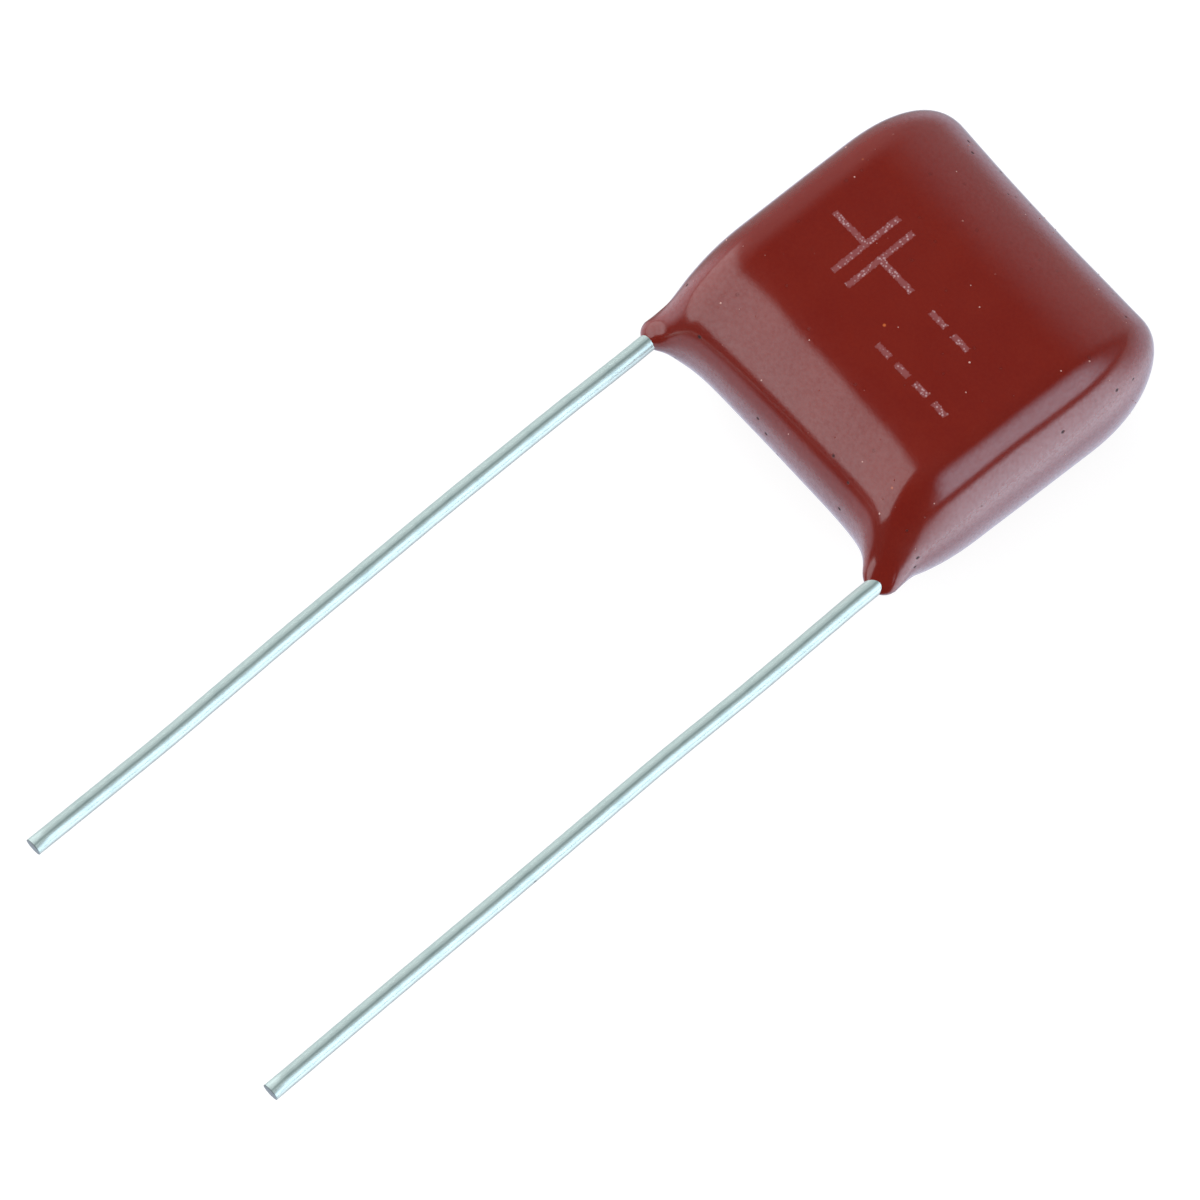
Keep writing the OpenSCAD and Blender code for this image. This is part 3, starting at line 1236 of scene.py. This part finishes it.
@dataclass(frozen=True)
class PlainRoom:
    """The room that the part mirrors: a soft box on its lead side, a window, walls and a floor.

    Its patches fade in between two values of X, Y or Z of the direction that looks at them.
    """

    white: Colour = (1.0, 1.0, 1.0, 1.0)
    ceiling: Colour = (0.05, 0.05, 0.05, 1.0)
    left_wall: Colour = (0.28, 0.28, 0.29, 1.0)
    far_wall: Colour = (0.46, 0.44, 0.47, 1.0)
    soft_box: Colour = (1.38, 1.34, 1.40, 1.0)
    window: Colour = (1.54, 1.72, 2.04, 1.0)
    floor_corner: Colour = (0.95, 0.92, 1.02, 1.0)
    floor_right: Colour = (1.80, 1.93, 2.24, 1.0)
    floor_far: Colour = (0.68, 0.66, 0.78, 1.0)
    floor_front: Colour = (0.60, 0.58, 0.66, 1.0)
    floor_near: Colour = (1.06, 1.17, 1.38, 1.0)
    floor_under: Colour = (0.70, 0.72, 0.87, 1.0)
    floor_edge: Colour = (0.06, 0.06, 0.06, 1.0)
    shade: float = 0.15
    box_top: tuple[float, float, float] = (-0.176, -0.942, -0.287)
    box_lean: tuple[float, float] = (0.3, -0.7)

    def walls(self, graph: Graph, look: tuple[Wire, Wire, Wire]) -> Wire:
        """Paint the walls, the soft box and the window above the floor.

        Args:
            graph: The world's graph.
            look: The three parts of the looking direction.

        Returns:
            The colour in that direction.
        """
        x, y, z = look
        room = graph.mix(x.ramp(-0.30, -0.85), self.ceiling, self.left_wall)
        far = y.ramp(0.20, 0.95) * x.ramp(-0.05, 0.40, 1.0, 0.3)
        room = graph.mix(far, room, self.far_wall)
        below_top = x * self.box_top[0] + y * self.box_top[1] + z * self.box_top[2]
        right_end, left_end = (x + z * lean for lean in self.box_lean)
        ends = right_end.ramp(-0.02, 0.06, 1.0, 0.0) * left_end.ramp(-0.32, -0.24, 1.0, 0.0)
        box = below_top.ramp(-0.04, 0.12) * ends * z.ramp(0.0, 0.11)
        room = graph.mix(box, room, self.soft_box)
        window = x.ramp(0.35, 0.80) * y.ramp(-0.20, 0.05) * y.ramp(0.25, 0.75, 1.0, 0.1)
        return graph.mix(window * z.ramp(0.07, 0.21), room, self.window)

    def floor(self, graph: Graph, look: tuple[Wire, Wire, Wire]) -> Wire:
        """Paint the pale floor, dark towards its edge, with its own tone below the part.

        Args:
            graph: The world's graph.
            look: The three parts of the looking direction.

        Returns:
            The colour in that direction.
        """
        x, y, z = look
        right = graph.mix(z.ramp(-0.01, -0.19), self.floor_edge, self.floor_right)
        floor = graph.mix(x.ramp(-0.35, 0.45), self.left_wall, right)
        far = graph.mix(z.ramp(0.05, -0.50), self.far_wall, self.floor_far)
        floor = graph.mix(y.ramp(0.30, 0.80), floor, far)
        front = graph.mix(z.ramp(-0.17, -0.34), self.floor_edge, self.floor_front)
        front = graph.mix(z.ramp(-0.45, -0.85), front, self.floor_near)
        floor = graph.mix(y.ramp(0.15, -0.25), floor, front)
        corner = x.ramp(-0.45, -0.80) * y.ramp(0.20, -0.10)
        floor = graph.mix(corner, floor, self.floor_corner)
        floor = graph.mix(z.ramp(-0.35, -0.90) * self.shade, floor, self.floor_edge)
        return graph.mix(z.ramp(-0.70, -0.90), floor, self.floor_under)

    def build(self) -> None:
        """Make the room the scene's world, white where the camera looks past the table."""
        world = bpy.data.worlds.new("plain_room")
        world.use_nodes = True
        bpy.context.scene.world = world
        graph = Graph(world.node_tree)
        look = graph.split(graph.wire("TexCoord", output="Generated"))
        path = graph.add("LightPath")
        shiny = graph.out(path, "Is Glossy Ray").most(graph.out(path, "Is Transmission Ray"))
        below = look[2].ramp(-0.01, 0.01, 1.0, 0.0) * shiny
        room = graph.mix(below, self.walls(graph, look), self.floor(graph, look))
        seen = graph.mix(graph.out(path, "Is Camera Ray"), room, self.white)
        sky = graph.wire("Background", {"Color": seen, "Strength": 1.0})
        graph.add("OutputWorld", {"Surface": sky})


@dataclass
class Studio:
    """Pale table, plain room and soft panels around the part."""

    table_size: float = 6.0
    table_tone: Colour = (0.16, 0.162, 0.165, 1.0)
    table_lift: float = 0.91
    bounce_tone: Colour = (0.62, 0.63, 0.65, 1.0)
    panels: tuple[SoftPanel, ...] = (
        SoftPanel("panel_overhead", (0.0, -0.10, 1.0), 0.30, 0.30, 2.7),
        SoftPanel("panel_left", (-0.85, 0.25, 0.42), 0.30, 0.30, 5.2),
        SoftPanel("panel_right", (0.95, 0.20, 0.28), 0.30, 0.24, 5.0),
        SoftPanel("panel_front", (-0.20, -0.95, 0.16), 0.40, 0.14, 4.2),
    )

    def table(self) -> None:
        """Lay the pale table, which is white in the picture and keeps the part's shadow."""
        half = self.table_size / 2
        corners = np.array([[-half, -half, 0], [half, -half, 0], [half, half, 0], [-half, half, 0]])
        table = add_object("table", make_mesh("table", corners, [(0, 1, 2, 3)]))
        material = bpy.data.materials.new("pale_table")
        material.use_nodes = True
        material.cycles.emission_sampling = "NONE"
        graph = Graph(material.node_tree)
        camera = graph.wire("LightPath", output="Is Camera Ray")
        matte = graph.wire("BsdfDiffuse", {"Color": self.table_tone})
        bounce = graph.wire("BsdfDiffuse", {"Color": self.bounce_tone})
        lift = graph.wire("Emission", {"Strength": self.table_lift})
        seen = graph.wire("AddShader", {0: matte, 1: lift})
        surface = graph.wire("MixShader", {0: camera, 1: bounce, 2: seen})
        graph.add("OutputMaterial", {"Surface": surface})
        table.data.materials.append(material)
        table.visible_glossy = False

    def build(self) -> None:
        """Set up the table, the room and the panels."""
        self.table()
        PlainRoom().build()
        for panel in self.panels:
            panel.build()
        bpy.context.scene.view_settings.view_transform = "Standard"


def report(piece: Object) -> None:
    """Log a piece with its number of triangles."""
    triangles = sum(len(face.vertices) - 2 for face in piece.data.polygons)
    LOG.info("%s: %d triangles", piece.name, triangles)


def main() -> None:
    """Build and dress the pieces in order, then set up the studio."""
    logging.basicConfig(level=logging.INFO, format="%(name)s: %(message)s")
    coating = DippedCoating.from_frame()
    leads = [
        TinnedLead(Side.LEFT, LEFT_BENDS, LEFT_SHORT),
        TinnedLead(Side.RIGHT, RIGHT_BENDS, RIGHT_SHORT),
    ]
    for part in (coating, ResinSpecks(coating), *leads):
        part.build()
        part.dress()
        report(part.piece)
    for solid in RolledElement().dress():
        report(solid)
    PhotoCamera(middle=(0.0, 0.0, coating.half_t)).build()
    Studio().build()


if __name__ == "__main__":
    main()
